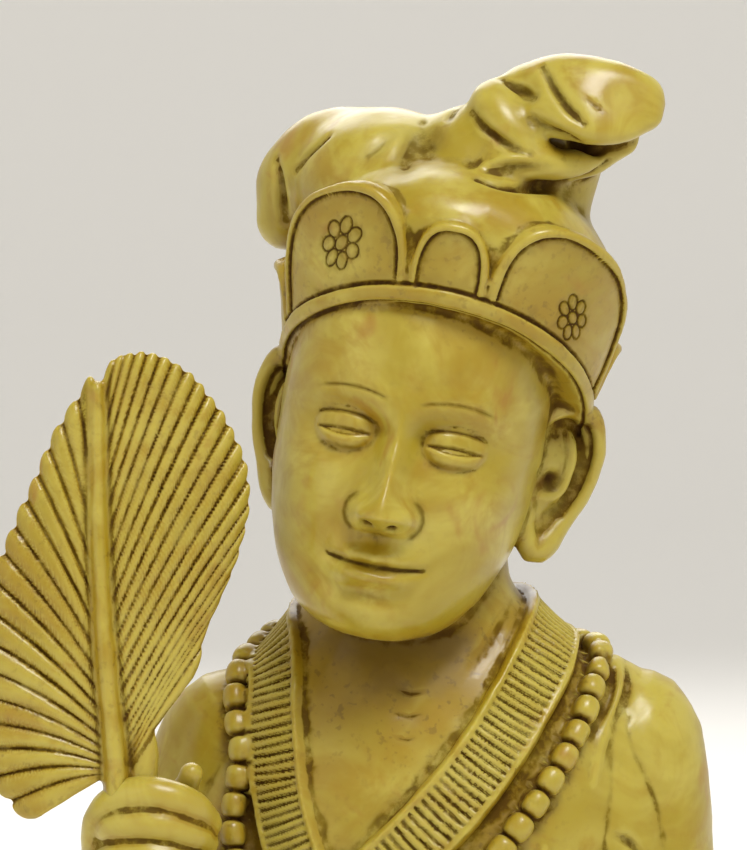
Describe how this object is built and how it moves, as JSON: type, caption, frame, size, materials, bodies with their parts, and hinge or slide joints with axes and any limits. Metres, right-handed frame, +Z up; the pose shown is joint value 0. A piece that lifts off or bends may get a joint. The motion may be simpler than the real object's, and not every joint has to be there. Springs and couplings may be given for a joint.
{
  "type": "soapstone scholar figure",
  "caption": "Soapstone bust of a robed scholar in a soft cap with a lobed brim, holding a palm-leaf fan in one hand, cut off flat at the elbows.",
  "frame": {"origin": "on the flat cut under the bust, below the middle of the chest", "axes": "+Z up through the head, -Y the way that the chest and the fan face, +X to the figure's left"},
  "size_m": [0.0821, 0.0443, 0.123],
  "materials": {
    "soapstone": "satin"
  },
  "bodies": {
    "root": {"scholar_figure": "soapstone"}
  },
  "joints": []
}
